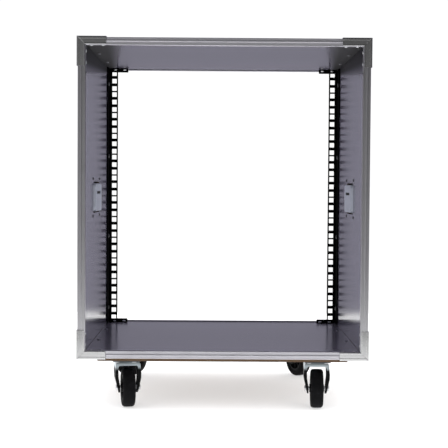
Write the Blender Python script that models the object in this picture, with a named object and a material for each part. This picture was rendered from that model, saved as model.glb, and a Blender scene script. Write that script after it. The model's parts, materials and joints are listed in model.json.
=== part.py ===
"""Twelve-unit equipment rack case on four swivel casters, open at the front and the rear.

The case stands on the floor at z = 0. Its open front faces -Y, +X is to the right and +Z is up.
"""

import math

import bmesh
import bpy
from mathutils import Vector

MM = 0.001
GAP = 0.3  # clearance kept between pieces that touch

# Case body, millimetres
BODY_WIDTH = 513.0
BODY_DEPTH = 450.0
BODY_HEIGHT = 564.0
BODY_BOTTOM = 95.0
BODY_TOP = BODY_BOTTOM + BODY_HEIGHT
BODY_MIDDLE = (BODY_TOP + BODY_BOTTOM) / 2
FRAME_FACE = 14.0  # width of the aluminium profile's end face
LEG_THICKNESS = 2.4  # outer leg of the aluminium profiles
LEG_LENGTH = 28.0
PANEL_THICKNESS = 9.5
PANEL_INSET = LEG_THICKNESS + GAP  # outer face of a panel, from the outside of the case
PANEL_INNER = PANEL_INSET + PANEL_THICKNESS
PANEL_END = 5.3  # how far the panels stop short of the end faces
EDGE_LEG = 30.0
EDGE_END = LEG_LENGTH + GAP

# Corner brackets
BRACKET_ARM = 50.0
BRACKET_PROUD = 1.5
BRACKET_FACE = 12.5  # leaves the inner lip of the profile in view
BRACKET_WRAP = 26.0

# Rack rails
RACK_UNIT = 44.45
RACK_UNITS = 12
HOLE_OFFSETS = (6.35, 22.225, 38.1)
HOLE_SIZE = 9.5
HOLE_SPACING = 465.1
RAIL_OPENING = 450.0
RAIL_SHEET = 2.0
RAIL_FLANGE = 45.0
RAIL_RECESS = 15.0  # from the rear face of the body to the rail

# Caster board, and each caster's swivel centre (x, y) with its steering angle
BOARD_WIDTH = 448.0
BOARD_DEPTH = 390.0
BOARD_BOTTOM = 86.0
CASTERS = {"front_left": (-174.5, -150.0, 10.0), "front_right": (172.0, -150.0, -2.5),
           "rear_left": (-172.0, 150.0, -110.0), "rear_right": (172.0, 150.0, -152.0)}
PLATE_WIDTH = 47.0
PLATE_DEPTH = 75.0
PLATE_THICKNESS = 2.5
PLATE_BOLTS = (15.5, 28.0)
WHEEL_RADIUS = 35.0
WHEEL_WIDTH = 22.5
RIM_RADIUS = 24.0
TRAIL = 22.0
CROWN_TOP = 81.2
FORK_SHEET = 2.5
CROWN_RIM = 74.4  # lower edge of the crown's folded rim
FORK_HALF = 22.2
AXLE_RADIUS = 4.0

# Recessed side handles
HANDLE_Y = -31.0
HANDLE_Z = BODY_MIDDLE
DISH_HALF = (50.0, 27.5)
DISH_SHEET = 1.2
DISH_INSIDE = 5.0  # how far the dish stands into the case
PLATE_HALF = (65.0, 43.0)
PLATE_SHEET = 1.5
CUTOUT_HALF = (52.0, 29.5)
PIVOT_RISE = 18.5
BAIL_ARM = 35.0
BAIL_HALF = 39.0
BAIL_RADIUS = 3.0
BAIL_BEND = 4.0
GRIP_RADIUS = 6.5

SIDES = {"left": -1, "right": 1}


def clear_scene():
    for obj in list(bpy.data.objects):
        bpy.data.objects.remove(obj, do_unlink=True)


def make_material(name, colour, roughness, metallic=0.0):
    material = bpy.data.materials.new(name)
    material.use_nodes = True
    shader = material.node_tree.nodes["Principled BSDF"]
    shader.inputs["Base Color"].default_value = (*colour, 1.0)
    shader.inputs["Roughness"].default_value = roughness
    shader.inputs["Metallic"].default_value = metallic
    return material


def add_object(name, mesh_bm, material, smooth=False, parent=None):
    """Turns a bmesh into a linked object with its normals out and its material on."""
    bmesh.ops.recalc_face_normals(mesh_bm, faces=mesh_bm.faces)
    mesh = bpy.data.meshes.new(name)
    mesh_bm.to_mesh(mesh)
    mesh_bm.free()
    if material:
        mesh.materials.append(material)
    if smooth:
        mesh.shade_smooth()
        mesh.set_sharp_from_angle(angle=math.radians(35))
    obj = bpy.data.objects.new(name, mesh)
    bpy.context.scene.collection.objects.link(obj)
    obj.parent = parent
    return obj


def loft(rings, closed=False):
    """Skins rings of points, in millimetres, with a cap at each end or closed on itself."""
    bm = bmesh.new()
    rows = [[bm.verts.new(Vector(point) * MM) for point in ring] for ring in rings]
    count = len(rows[0])
    pairs = list(zip(rows, rows[1:]))
    if closed:
        pairs.append((rows[-1], rows[0]))
    for low, high in pairs:
        for i in range(count):
            j = (i + 1) % count
            bm.faces.new((low[i], low[j], high[j], high[i]))
    if not closed:
        bm.faces.new(rows[0])
        bm.faces.new(rows[-1][::-1])
    return bm


def lathe(profile, segments, place):
    """Turns a closed (radius, height) profile; place maps (x, y, height) to the piece's own axes."""
    rings = []
    for i in range(segments):
        angle = math.tau * i / segments
        cosine = math.cos(angle)
        sine = math.sin(angle)
        rings.append([place(r * cosine, r * sine, h) for r, h in profile])
    bm = loft(rings, closed=True)
    bmesh.ops.remove_doubles(bm, verts=bm.verts, dist=1e-6)
    bmesh.ops.dissolve_degenerate(bm, edges=bm.edges, dist=1e-7)
    return bm


def box(low, high):
    bm = bmesh.new()
    bmesh.ops.create_cube(bm, size=1.0)
    for vert in bm.verts:
        vert.co = Vector([(high[k] if vert.co[k] > 0 else low[k]) * MM for k in range(3)])
    return bm


def prism(outline, low, high, place):
    """Extrudes a 2-D outline between two distances; place maps (u, v, distance) to axes."""
    return loft([[place(u, v, low) for u, v in outline], [place(u, v, high) for u, v in outline]])


def circle(radius, steps):
    return [(radius * math.cos(math.tau * i / steps), radius * math.sin(math.tau * i / steps))
            for i in range(steps)]


def rounded_rectangle(half_u, half_v, radius, steps=4):
    points = []
    for corner, (su, sv) in enumerate(((1, 1), (-1, 1), (-1, -1), (1, -1))):
        for step in range(steps + 1):
            angle = math.radians(90 * corner + 90 * step / steps)
            points.append((su * (half_u - radius) + radius * math.cos(angle),
                           sv * (half_v - radius) + radius * math.sin(angle)))
    return points


def cut(obj, cutters, operation="DIFFERENCE"):
    """Applies a Boolean with a helper object that holds one or more separate closed shapes."""
    merged = bmesh.new()
    for cutter in cutters:
        piece = bpy.data.meshes.new("cutter_piece")
        bmesh.ops.recalc_face_normals(cutter, faces=cutter.faces)
        cutter.to_mesh(piece)
        cutter.free()
        merged.from_mesh(piece)
        bpy.data.meshes.remove(piece)
    mesh = bpy.data.meshes.new(obj.name + "_cutter")
    merged.to_mesh(mesh)
    merged.free()
    helper = bpy.data.objects.new(obj.name + "_cutter", mesh)
    bpy.context.scene.collection.objects.link(helper)
    helper.hide_render = True
    helper.display_type = "WIRE"
    helper.parent = obj.parent
    modifier = obj.modifiers.new(operation.lower(), "BOOLEAN")
    modifier.operation = operation
    modifier.solver = "EXACT"
    modifier.object = helper


def panels(material):
    """Four laminated ply panels; the sides run full height and the top and bottom fit between."""
    half_depth = BODY_DEPTH / 2 - PANEL_END
    outer = BODY_WIDTH / 2 - PANEL_INSET
    inner = BODY_WIDTH / 2 - PANEL_INNER
    bottom = BODY_BOTTOM + PANEL_INSET
    top = BODY_TOP - PANEL_INSET
    between = inner - GAP
    add_object("top_panel", box((-between, -half_depth, top - PANEL_THICKNESS),
                                (between, half_depth, top)), material)
    add_object("bottom_panel", box((-between, -half_depth, bottom),
                                   (between, half_depth, bottom + PANEL_THICKNESS)), material)
    for side, sign in SIDES.items():
        low, high = sorted((sign * inner, sign * outer))
        panel = add_object(side + "_side_panel", box((low, -half_depth, bottom),
                                                     (high, half_depth, top)), material)
        outline = rounded_rectangle(*CUTOUT_HALF, 7.0)
        cut(panel, [prism(outline, low - 5, high + 5,
                          lambda u, v, d: (d, HANDLE_Y + u, HANDLE_Z + v))])


def profile_section():
    """End profile of the lid-mating extrusion as (across from outside, depth from the end face)."""
    slot = 5.0
    lip = 1.5
    return [(0.0, 1.8), (0.8, 1.0), (4.6, 1.0), (5.2, 0.0), (7.2, 0.0), (7.8, 3.0), (11.4, 3.0),
            (12.0, 0.9), (13.4, 0.9), (FRAME_FACE, 1.5), (FRAME_FACE, 10.5),
            (FRAME_FACE - lip, 10.5), (FRAME_FACE - lip, slot), (LEG_THICKNESS, slot),
            (LEG_THICKNESS, LEG_LENGTH), (0.0, LEG_LENGTH)]


def bracket_section():
    """Folded channel that covers the end face and the outside of the frame at a corner."""
    over = BRACKET_PROUD + GAP  # outside of the channel, beyond the extrusion's outer face
    return [(-over, -BRACKET_PROUD + 0.6), (-over + 0.6, -BRACKET_PROUD),
            (BRACKET_FACE - 0.6, -BRACKET_PROUD), (BRACKET_FACE, -BRACKET_PROUD + 0.6),
            (BRACKET_FACE, -GAP), (-GAP, -GAP), (-GAP, BRACKET_WRAP), (-over, BRACKET_WRAP)]


def on_frame(end, sign_x, sign_z, across, depth, arm_x=None, arm_z=None):
    """A point of a section at a corner's mitre, or at a distance along one of its two arms."""
    x = BODY_WIDTH / 2 - (across if arm_x is None else arm_x)
    z = BODY_HEIGHT / 2 - (across if arm_z is None else arm_z)
    return (sign_x * x, end * (BODY_DEPTH / 2 - depth), BODY_MIDDLE + sign_z * z)


def end_frames(material):
    """Front and rear frames, each of four extrusions with mitred corners."""
    section = profile_section()
    shift = GAP / 2
    for label, end in (("front", -1), ("rear", 1)):
        for name, sign_z in (("top", 1), ("bottom", -1)):
            rings = [[on_frame(end, sign, sign_z, a, d, arm_x=a + shift) for a, d in section]
                     for sign in (-1, 1)]
            add_object(f"{label}_{name}_profile", loft(rings), material)
        for name, sign_x in SIDES.items():
            rings = [[on_frame(end, sign_x, sign, a, d, arm_z=a + shift) for a, d in section]
                     for sign in (-1, 1)]
            add_object(f"{label}_{name}_profile", loft(rings), material)


def corner_brackets(material):
    section = bracket_section()
    for label, end in (("front", -1), ("rear", 1)):
        for height, sign_z in (("top", 1), ("bottom", -1)):
            for side, sign_x in SIDES.items():
                rings = [[on_frame(end, sign_x, sign_z, a, d, arm_x=BRACKET_ARM) for a, d in section],
                         [on_frame(end, sign_x, sign_z, a, d) for a, d in section],
                         [on_frame(end, sign_x, sign_z, a, d, arm_z=BRACKET_ARM) for a, d in section]]
                add_object(f"bracket_{label}_{height}_{side}", loft(rings), material)


def edge_angles(material):
    """Angles along the four long edges, between the legs of the end frames."""
    half = BODY_DEPTH / 2 - EDGE_END
    edge = [(0.5, 0.0), (EDGE_LEG, 0.0), (EDGE_LEG, LEG_THICKNESS),
            (LEG_THICKNESS, LEG_THICKNESS), (LEG_THICKNESS, EDGE_LEG), (0.0, EDGE_LEG), (0.0, 0.5)]
    for height, sign_z in (("top", 1), ("bottom", -1)):
        for side, sign_x in SIDES.items():
            bm = prism(edge, -half, half, lambda u, v, d: (
                sign_x * (BODY_WIDTH / 2 - u), d, BODY_MIDDLE + sign_z * (BODY_HEIGHT / 2 - v)))
            add_object(f"{height}_{side}_edge_angle", bm, material)


def rack_rails(material):
    """Pierced rails near the rear: a face flange with square holes and a flange on the wall."""
    wall = BODY_WIDTH / 2 - PANEL_INNER - GAP
    back = BODY_DEPTH / 2 - RAIL_RECESS
    length = BODY_HEIGHT - 2 * (PANEL_INNER + GAP)
    low = BODY_MIDDLE - length / 2
    first = BODY_MIDDLE + RACK_UNIT * RACK_UNITS / 2
    front = back - RAIL_FLANGE
    for side, sign in SIDES.items():
        outline = [(wall, front), (wall, back), (RAIL_OPENING / 2, back),
                   (RAIL_OPENING / 2, back - RAIL_SHEET), (wall - RAIL_SHEET, back - RAIL_SHEET),
                   (wall - RAIL_SHEET, front)]
        rail = add_object("rack_rail_" + side, prism(
            outline, low, low + length, lambda u, v, d: (sign * u, v, d)), material)
        holes = []
        centre = sign * HOLE_SPACING / 2
        reach = HOLE_SIZE / 2
        for unit in range(RACK_UNITS):
            for offset in HOLE_OFFSETS:
                z = first - RACK_UNIT * unit - offset
                holes.append(box((centre - reach, back - 3 * RAIL_SHEET, z - reach),
                                 (centre + reach, back + RAIL_SHEET, z + reach)))
        cut(rail, holes)


def caster_board(material):
    top = BODY_BOTTOM + PANEL_INSET - GAP
    add_object("caster_board", box((-BOARD_WIDTH / 2, -BOARD_DEPTH / 2, BOARD_BOTTOM),
                                   (BOARD_WIDTH / 2, BOARD_DEPTH / 2, top)), material)


def handle_dish(side, sign, material):
    """Pressed tray with a flange outside the panel and a recess that stands into the case."""
    face = BODY_WIDTH / 2 - PANEL_INSET + GAP
    back = BODY_WIDTH / 2 - PANEL_INNER - DISH_INSIDE

    def ring(x, half_u, half_v, radius):
        return [(sign * x, HANDLE_Y + u, HANDLE_Z + v)
                for u, v in rounded_rectangle(half_u, half_v, radius)]

    u, v = DISH_HALF
    t = DISH_SHEET
    rings = [ring(back, u - 1.5, v - 1.5, 6.0), ring(back + 2, u, v, 7.0), ring(face, u, v, 7.0),
             ring(face, *PLATE_HALF, 9.0), ring(face + PLATE_SHEET, *PLATE_HALF, 9.0),
             ring(face + PLATE_SHEET, u - t, v - t, 6.0), ring(back + 2 + t, u - t, v - t, 6.0),
             ring(back + t, u - t - 1.5, v - t - 1.5, 5.0)]
    dish = add_object(f"handle_{side}_dish", loft(rings), material)
    slot_z = HANDLE_Z + DISH_HALF[1] / 3
    slot = box((min(sign * (back - 3), sign * (back + 4)), HANDLE_Y - 30, slot_z - 1.6),
               (max(sign * (back - 3), sign * (back + 4)), HANDLE_Y + 30, slot_z + 1.6))
    pivot_x = sign * bail_axis_x()
    holes = []
    for end in (-1, 1):
        ends = sorted((HANDLE_Y + end * (u - 4), HANDLE_Y + end * (u + 1)))
        holes.append(prism(circle(BAIL_RADIUS + 0.5, 16), *ends, lambda a, b, d: (
            pivot_x + a, d, HANDLE_Z + PIVOT_RISE + b)))
    cut(dish, [slot] + holes)


def bail_axis_x():
    return BODY_WIDTH / 2 - PANEL_INNER - DISH_INSIDE + DISH_SHEET + GRIP_RADIUS + 1.0


def tube_along(path, radius, sides):
    """A round rod along a path in the local YZ plane."""
    rings = []
    for i, (y, z) in enumerate(path):
        before = path[max(i - 1, 0)]
        after = path[min(i + 1, len(path) - 1)]
        length = math.hypot(after[0] - before[0], after[1] - before[1])
        ty = (after[0] - before[0]) / length
        tz = (after[1] - before[1]) / length
        ring = []
        for k in range(sides):
            angle = math.tau * k / sides
            side = radius * math.cos(angle)
            ring.append((radius * math.sin(angle), y - side * tz, z + side * ty))
        rings.append(ring)
    return loft(rings)


def bail_path():
    """Journal, arm, grip bar, arm, journal, with round bends."""
    end = DISH_HALF[0] + 0.8
    corners = [((-BAIL_HALF, 0.0), (-BAIL_BEND, -BAIL_BEND), 90), ((-BAIL_HALF, -BAIL_ARM),
               (BAIL_BEND, BAIL_BEND), 180)]
    path = [(-end, 0.0)]
    for (y, z), (dy, dz), start in corners:
        for step in range(5):
            turn = math.radians(90 * step / 4)
            if start == 90:
                angle = math.pi / 2 - turn
            else:
                angle = math.pi + turn
            path.append((y + dy + BAIL_BEND * math.cos(angle), z + dz + BAIL_BEND * math.sin(angle)))
    return path + [(-y, z) for y, z in reversed(path)]


def handle_bail(side, sign, rod, grip):
    """The folded-down lifting bail and its rubber sleeve, on an empty at the pivot."""
    pivot = bpy.data.objects.new(f"handle_{side}_pivot_axis", None)
    bpy.context.scene.collection.objects.link(pivot)
    pivot.location = Vector((sign * bail_axis_x(), HANDLE_Y, HANDLE_Z + PIVOT_RISE)) * MM
    add_object(f"handle_{side}_bail", tube_along(bail_path(), BAIL_RADIUS, 10), rod, True, pivot)
    half = BAIL_HALF - BAIL_BEND - 1.0
    bore = BAIL_RADIUS + GAP
    profile = [(bore, -half), (GRIP_RADIUS - 1.5, -half), (GRIP_RADIUS, -half + 1.5),
               (GRIP_RADIUS, half - 1.5), (GRIP_RADIUS - 1.5, half), (bore, half)]
    add_object(f"handle_{side}_grip", lathe(profile, 16, lambda a, b, h: (a, h, b - BAIL_ARM)),
               grip, True, pivot)


def handle_spring(side, sign, material):
    """Return spring: a few turns of wire round one journal, its coil fixed in the dish."""
    wire = 0.6
    radius = BAIL_RADIUS + GAP + 0.1 + wire
    turns = 3
    steps = 10
    pitch = 1.35
    start = BAIL_HALF + BAIL_BEND + 0.8
    rings = []
    for i in range(turns * steps + 1):
        angle = math.tau * i / steps
        outward = (math.cos(angle), math.sin(angle))
        y = HANDLE_Y + start + pitch * i / steps
        ring = []
        for k in range(5):
            turn = math.tau * k / 5
            reach = radius + wire * math.cos(turn)
            ring.append((sign * bail_axis_x() + reach * outward[0], y + wire * math.sin(turn),
                         HANDLE_Z + PIVOT_RISE + reach * outward[1]))
        rings.append(ring)
    add_object(f"handle_{side}_spring", loft(rings), material, True)


def caster_plate(name, material, parent):
    top = BOARD_BOTTOM - GAP
    outline = rounded_rectangle(PLATE_WIDTH / 2, PLATE_DEPTH / 2, 6.0)
    plate = add_object(name + "_plate", prism(
        outline, top - PLATE_THICKNESS, top, lambda u, v, d: (u, v, d)), material, False, parent)
    slots = []
    for sx in (-1, 1):
        for sy in (-1, 1):
            slot = [(sx * PLATE_BOLTS[0] + u, sy * PLATE_BOLTS[1] + v)
                    for u, v in rounded_rectangle(3.0, 5.0, 2.9, 3)]
            slots.append(prism(slot, top - 6, top + 3, lambda u, v, d: (u, v, d)))
    slots.append(prism(circle(5.6, 16), top - 6, top + 3, lambda u, v, d: (u, v, d)))
    cut(plate, slots)


def caster_kingpin(name, material, parent):
    """Race ring under the plate, pin through the fork's crown, and the riveted head below it."""
    top = BOARD_BOTTOM - GAP
    under = top - PLATE_THICKNESS - GAP
    race = CROWN_TOP + GAP
    below = CROWN_TOP - FORK_SHEET - GAP
    profile = [(0.0, top - 0.4), (5.0, top - 0.4), (5.0, under), (18.6, under),
               (19.3, (under + race) / 2), (18.6, race), (5.0, race), (5.0, below), (9.0, below), (8.0, below - 3.0),
               (0.0, below - 3.5)]
    add_object(name + "_kingpin", lathe(profile, 16, lambda a, b, h: (a, b, h)),
               material, True, parent)


def inset(outline, distance):
    """Moves each side of a counter-clockwise outline inwards by a distance."""
    moved = []
    for i, point in enumerate(outline):
        here = Vector(point)
        along = (here - Vector(outline[i - 1])).normalized()
        onward = (Vector(outline[(i + 1) % len(outline)]) - here).normalized()
        normal = (Vector((-along.y, along.x)) + Vector((-onward.y, onward.x))).normalized()
        reach = distance / max(normal.dot(Vector((-onward.y, onward.x))), 0.5)
        moved.append(tuple(here + normal * reach))
    return moved


def fork_leg():
    """Outer edge of the bowed left leg, from its tip up to the crown, as (x, z)."""
    return [(-17.0, 24.0), (-19.8, 38.0), (-23.2, 52.0), (-23.6, 60.0), (-22.9, 69.0),
            (-FORK_HALF, 77.0), (-19.8, CROWN_TOP)]


def fork_side():
    """Side outline of the crown and the trailing leg, counter-clockwise, as (y, z)."""
    tip_radius = 9.5
    outline = []
    for degrees in range(180, 361, 30):
        angle = math.radians(degrees)
        outline.append((-TRAIL + tip_radius * math.cos(angle),
                        WHEEL_RADIUS + tip_radius * math.sin(angle)))
    return outline + [(2.0, 55.0), (14.0, 66.0), (FORK_HALF, 70.0), (FORK_HALF, CROWN_TOP + 5),
                      (-FORK_HALF - 2, CROWN_TOP + 5), (-FORK_HALF - 4.0, 66.0)]


def add_cutter(name, first, second, parent):
    """A helper made of the space that two prisms share."""
    helper = add_object(name, first, None, False, parent)
    helper.hide_render = True
    helper.display_type = "WIRE"
    cut(helper, [second], "INTERSECT")
    return helper


def caster_fork(name, material, parent):
    """Pressed fork: a bowed strip with folded rims, bored for the pin and the axle."""
    def across(u, v, d):
        return (u, d, v)

    def along(u, v, d):
        return (d, u, v)

    left = fork_leg()
    inner = [(-14.5, 24.0), (-15.4, 40.0), (-17.6, 54.0), (-17.8, CROWN_RIM - 3), (-15.8, CROWN_RIM)]
    strip = left + [(-x, z) for x, z in reversed(left)] + [(-x, z) for x, z in inner]
    strip += [(x, z) for x, z in reversed(inner)]
    fork = add_object(name + "_fork", prism(strip, -45, 45, across), material, False, parent)
    cut(fork, [prism(fork_side(), -40, 40, along)], "INTERSECT")
    sheet = FORK_SHEET
    hollow = [(x + sheet, z) for x, z in left[:-2]]
    hollow += [(-FORK_HALF + sheet, 76.2), (-18.6, CROWN_TOP - sheet)]
    hollow += [(-x, z) for x, z in reversed(hollow)]
    pressing = add_cutter(name + "_pressing", prism(hollow, -45, 45, across),
                          prism(inset(fork_side(), sheet), -40, 40, along), parent)
    press = fork.modifiers.new("pressing", "BOOLEAN")
    press.operation = "DIFFERENCE"
    press.solver = "EXACT"
    press.object = pressing
    crown = circle(5.6, 16)
    axle = [(u - TRAIL, v + WHEEL_RADIUS) for u, v in circle(AXLE_RADIUS + 0.4, 16)]
    cut(fork, [prism(crown, 65, 95, lambda u, v, d: (u, v, d)), prism(axle, -40, 40, along)])


def caster_axle(name, material, parent):
    """Riveted axle with a low head outside each leg."""
    leg = 20.6
    head = 5.6
    profile = [(0.0, -leg - 2.0), (head - 1.5, -leg - 2.0), (head, -leg - 1.0), (head, -leg),
               (AXLE_RADIUS, -leg), (AXLE_RADIUS, leg), (head, leg), (head, leg + 1.0),
               (head - 1.5, leg + 2.0), (0.0, leg + 2.0)]
    add_object(name + "_axle", lathe(profile, 12, lambda a, b, h: (h, a - TRAIL, b + WHEEL_RADIUS)),
               material, True, parent)


def caster_wheel(name, tyre_material, hub_material, spin):
    """Tyre ring and wheel centre, turned about the axle; the empty sits on the axle."""
    half = WHEEL_WIDTH / 2
    tyre = [(RIM_RADIUS, -half + 1), (31.0, -half), (33.6, -half + 1.6), (34.7, -half + 4.6),
            (WHEEL_RADIUS, 0.0), (34.7, half - 4.6), (33.6, half - 1.6), (31.0, half),
            (RIM_RADIUS, half - 1)]
    add_object(name + "_tyre", lathe(tyre, 32, lambda a, b, h: (h, a, b)), tyre_material, True, spin)
    rim = RIM_RADIUS - GAP
    boss = 13.2
    bore = AXLE_RADIUS + 0.5
    hub = [(bore, -boss), (8.0, -boss), (9.0, -7.0), (19.5, -5.0), (20.5, -half + 1.4),
           (rim, -half + 1.4), (rim, half - 1.4), (20.5, half - 1.4), (19.5, 5.0), (9.0, 7.0),
           (8.0, boss), (bore, boss)]
    add_object(name + "_hub", lathe(hub, 24, lambda a, b, h: (h, a, b)), hub_material, True, spin)


def add_empty(name, parent, location, angle=0.0):
    empty = bpy.data.objects.new(name, None)
    bpy.context.scene.collection.objects.link(empty)
    empty.parent = parent
    empty.location = Vector(location) * MM
    empty.rotation_euler = (0.0, 0.0, math.radians(angle))
    return empty


def casters(finishes):
    """Four swivel casters, each at its own steering angle, trailing towards its local -Y."""
    for label, (x, y, angle) in CASTERS.items():
        name = "caster_" + label
        place = (x, y, 0.0)
        mounting = add_empty(name + "_mounting", None, place)
        swivel = add_empty(name + "_swivel_axis", None, place, angle)
        spin = add_empty(name + "_wheel_axis", swivel, (0.0, -TRAIL, WHEEL_RADIUS))
        caster_plate(name, finishes["zinc"], mounting)
        caster_kingpin(name, finishes["steel"], mounting)
        caster_fork(name, finishes["zinc"], swivel)
        caster_axle(name, finishes["bolt"], swivel)
        caster_wheel(name, finishes["tyre"], finishes["hub"], spin)


def main():
    clear_scene()
    laminate = make_material("grey_laminate", (0.16, 0.155, 0.20), 0.5)
    plywood = make_material("brown_ply", (0.16, 0.11, 0.09), 0.7)
    profile = make_material("aluminium_profile", (0.55, 0.55, 0.56), 0.35, 1.0)
    bracket = make_material("bracket_steel", (0.6, 0.6, 0.62), 0.3, 1.0)
    rail = make_material("black_rail", (0.008, 0.008, 0.01), 0.5)
    grip = make_material("grip_rubber", (0.02, 0.02, 0.02), 0.7)
    finishes = {
        "zinc": make_material("zinc_plate", (0.60, 0.68, 0.74), 0.3, 1.0),
        "steel": make_material("pin_steel", (0.35, 0.36, 0.38), 0.35, 1.0),
        "bolt": make_material("bolt_steel", (0.75, 0.75, 0.75), 0.25, 1.0),
        "tyre": make_material("black_tyre", (0.01, 0.01, 0.011), 0.55),
        "hub": make_material("black_hub", (0.012, 0.012, 0.013), 0.4),
    }
    panels(laminate)
    end_frames(profile)
    edge_angles(profile)
    corner_brackets(bracket)
    rack_rails(rail)
    caster_board(plywood)
    for side, sign in SIDES.items():
        handle_dish(side, sign, finishes["zinc"])
        handle_bail(side, sign, finishes["bolt"], grip)
        handle_spring(side, sign, finishes["steel"])
    casters(finishes)
    bpy.context.view_layer.update()


main()
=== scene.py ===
import json
import math
import random

import bmesh
import bpy
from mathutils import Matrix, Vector

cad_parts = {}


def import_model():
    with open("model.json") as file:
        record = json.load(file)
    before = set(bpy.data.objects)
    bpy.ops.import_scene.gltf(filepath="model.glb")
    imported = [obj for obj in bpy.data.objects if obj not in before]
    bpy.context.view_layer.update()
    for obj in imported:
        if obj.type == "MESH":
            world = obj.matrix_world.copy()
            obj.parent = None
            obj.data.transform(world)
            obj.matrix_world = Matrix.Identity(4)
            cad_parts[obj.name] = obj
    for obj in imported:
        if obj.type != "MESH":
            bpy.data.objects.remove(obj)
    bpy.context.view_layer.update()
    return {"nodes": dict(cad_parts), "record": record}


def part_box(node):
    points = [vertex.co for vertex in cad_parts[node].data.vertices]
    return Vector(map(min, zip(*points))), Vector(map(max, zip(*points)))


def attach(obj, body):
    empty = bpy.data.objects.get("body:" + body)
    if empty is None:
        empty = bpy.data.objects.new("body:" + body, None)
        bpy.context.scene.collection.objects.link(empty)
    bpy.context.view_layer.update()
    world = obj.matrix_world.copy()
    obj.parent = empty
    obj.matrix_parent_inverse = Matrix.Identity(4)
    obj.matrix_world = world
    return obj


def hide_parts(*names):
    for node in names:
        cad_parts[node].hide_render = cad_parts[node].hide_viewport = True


# Equipment rack case: finishes, small hardware and studio, built round the fixed frame
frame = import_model()
cadNodes = frame["nodes"]
record = frame["record"]
bodyOf = {node: body for body, members in record["behaviour"]["bodies"].items() for node in members}
slotOf = {row["node"]: row["material_slot"] for row in record["subparts"]}
joints = {joint["name"]: joint for joint in record["behaviour"]["joints"]}
mm = 0.001
smoothAngle = 32  # degrees: bends sharper than this stay crisp
dice = random.Random(12)
print("frame loaded:", len(cadNodes), "nodes")

# outside of the case body, read off the end frames
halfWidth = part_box("front_right_profile")[1].x / mm
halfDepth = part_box("rear_top_profile")[1].y / mm
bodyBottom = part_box("front_bottom_profile")[0].z / mm
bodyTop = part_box("front_top_profile")[1].z / mm
middleZ = (bodyBottom + bodyTop) / 2
halfHeight = (bodyTop - bodyBottom) / 2
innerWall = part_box("right_side_panel")[0].x / mm
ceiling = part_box("top_panel")[0].z / mm
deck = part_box("bottom_panel")[1].z / mm
sides = {"left": -1, "right": 1}
ends = {"front": -1, "rear": 1}
levels = {"top": 1, "bottom": -1}


class Wire:  # one socket of a material, used like a number
    def __init__(self, finish, socket):
        self.finish = finish
        self.socket = socket

    def calc(self, operation, first, second=0.0):
        return self.finish.add("ShaderNodeMath", {"operation": operation}, {0: first, 1: second})

    def __add__(self, other):
        return self.calc("ADD", self, other)

    def __radd__(self, other):
        return self.calc("ADD", other, self)

    def __sub__(self, other):
        return self.calc("SUBTRACT", self, other)

    def __rsub__(self, other):
        return self.calc("SUBTRACT", other, self)

    def __mul__(self, other):
        return self.calc("MULTIPLY", self, other)

    def __rmul__(self, other):
        return self.calc("MULTIPLY", other, self)

    def __truediv__(self, other):
        return self.calc("DIVIDE", self, other)

    def __abs__(self):
        return self.calc("ABSOLUTE", self)


class Finish:  # the node tree of a material or a world, and the few ways its nodes are made
    def __init__(self, owner, values=None, shader="Principled BSDF", place="Object"):
        owner.use_nodes = True
        self.owner = owner
        self.tree = owner.node_tree
        self.shader = self.tree.nodes[shader]
        self.show(values or {})
        self.place = self.add("ShaderNodeTexCoord", output=place)

    def feed(self, socket, value):
        if isinstance(value, Wire):
            self.tree.links.new(value.socket, socket)
        else:
            socket.default_value = value

    def add(self, kind, settings=None, values=None, output=0):
        node = self.tree.nodes.new(kind)
        for key, value in (settings or {}).items():
            if key == "stops":
                ramp = node.color_ramp
                while len(ramp.elements) < len(value):
                    ramp.elements.new(1.0)
                for stop, (position, colour) in zip(ramp.elements, value):
                    stop.position = position
                    stop.color = rgba(colour)
            else:
                setattr(node, key, value)
        for key, value in (values or {}).items():
            self.feed(node.inputs[key], value)
        return Wire(self, node.outputs[output])

    def show(self, inputs):
        for key, value in inputs.items():
            self.feed(self.shader.inputs[key], value)

    def axis(self, letter):
        return self.add("ShaderNodeSeparateXYZ", None, {0: self.place}, letter)

    def noise(self, scale, detail=3.0, rough=0.55):  # one scale for all axes, or a tuple of three
        where = self.place
        if isinstance(scale, tuple):
            where = self.add("ShaderNodeVectorMath", {"operation": "MULTIPLY"}, {0: where, 1: scale})
            scale = 1.0
        values = {"Vector": where, "Scale": scale, "Detail": detail, "Roughness": rough}
        return self.add("ShaderNodeTexNoise", None, values)

    def wave(self, operation, value):  # a one-input Math node, such as SINE or FRACT
        return self.add("ShaderNodeMath", {"operation": operation}, {0: value})

    def cells(self, scale):
        return self.add("ShaderNodeTexVoronoi", None, {"Vector": self.place, "Scale": scale})

    def fade(self, value, low, high):
        values = {"Value": value, "From Min": low, "From Max": high}
        return self.add("ShaderNodeMapRange", {"interpolation_type": "SMOOTHSTEP"}, values)

    def mix(self, amount, first, second):
        values = {0: amount, 6: rgba(first), 7: rgba(second)}
        return self.add("ShaderNodeMix", {"data_type": "RGBA"}, values, 2)

    def bump(self, height, depth, strength=1.0):
        values = {"Strength": strength, "Distance": depth * mm, "Height": height}
        return self.add("ShaderNodeBump", None, values)


def newFinish(name, values=None):
    return Finish(bpy.data.materials.new(name), values)


def rgba(colour):
    return colour if isinstance(colour, Wire) or len(colour) == 4 else (*colour, 1.0)


def scaled(colour, amount):
    return tuple(channel * amount for channel in colour)


# grey film over ply: fine leather grain and faint scuffs, with painted shade: darker on the underside of the
# top panel, and near black in the two upper corners inside, where the painted shade narrows towards the rear
filmLook = {"grey": (0.142, 0.132, 0.186), "grain": 620, "grainDepth": 0.01, "roughness": 0.16,
            "ceilingShade": 0.55, "ceilingShadeTone": 0.3, "cornerShade": 0.06, "cornerDull": 0.4,
            "narrowing": 0.80, "downTop": (0.024, 0.060), "inFromSide": (0.034, 0.075),
            "skinDepth": 0.004, "topDepth": (0.0008, 0.0002)}


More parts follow.
